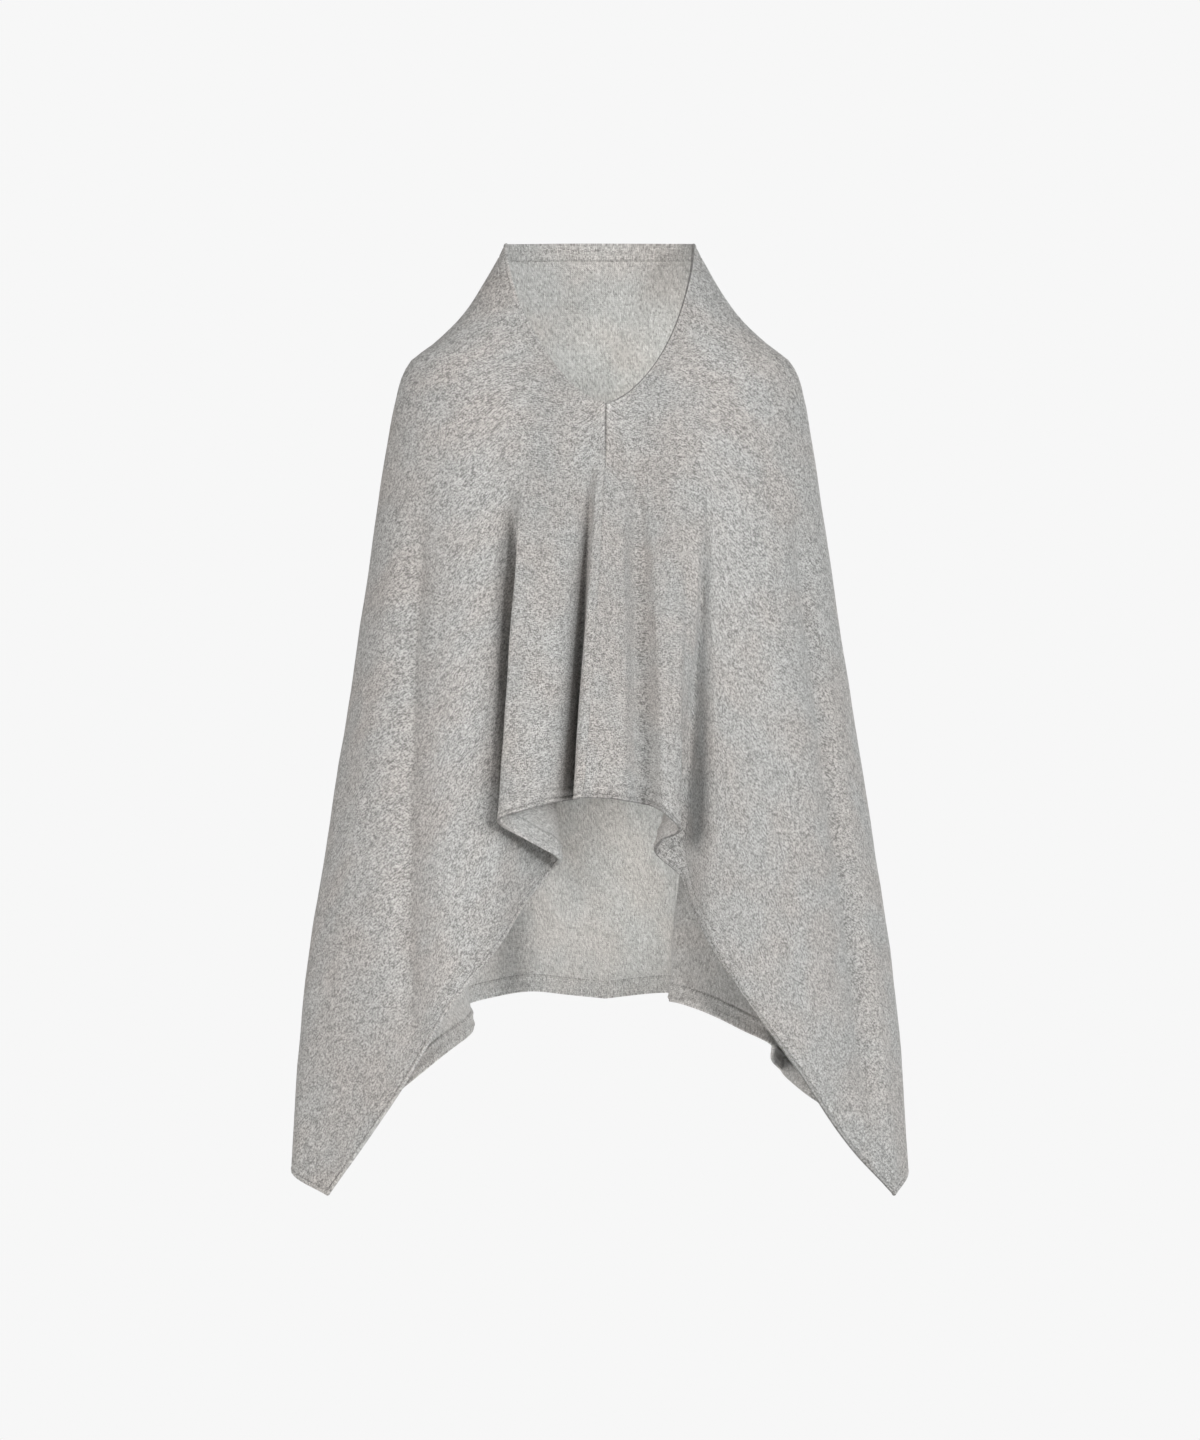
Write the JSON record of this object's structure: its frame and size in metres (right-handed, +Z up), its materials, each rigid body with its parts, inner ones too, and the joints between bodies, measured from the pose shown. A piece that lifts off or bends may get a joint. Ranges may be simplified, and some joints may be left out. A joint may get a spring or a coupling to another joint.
{
  "type": "knitted poncho sweater",
  "caption": "Grey knitted poncho sweater in its worn shape: round V neck, centre front seam, short front, longer back and a draped point at each side.",
  "frame": {"origin": "middle of the line between the two shoulder points, where the wearer's shoulders hold the garment", "axes": "+Z up, -Y towards the front of the wearer, +X towards the wearer's left, which is the right of a front view"},
  "size_m": [0.616, 0.2667, 0.952],
  "materials": {
    "knit": "fine-gauge heather grey wool jersey, matt, slightly felted",
    "turned_edge": "the same knit turned to the inside and stitched, matt"
  },
  "bodies": {
    "root": {"body_panel": "knit", "neck_hem": "turned_edge", "front_hem_left": "turned_edge", "front_hem_right": "turned_edge", "back_hem": "turned_edge"}
  },
  "joints": []
}
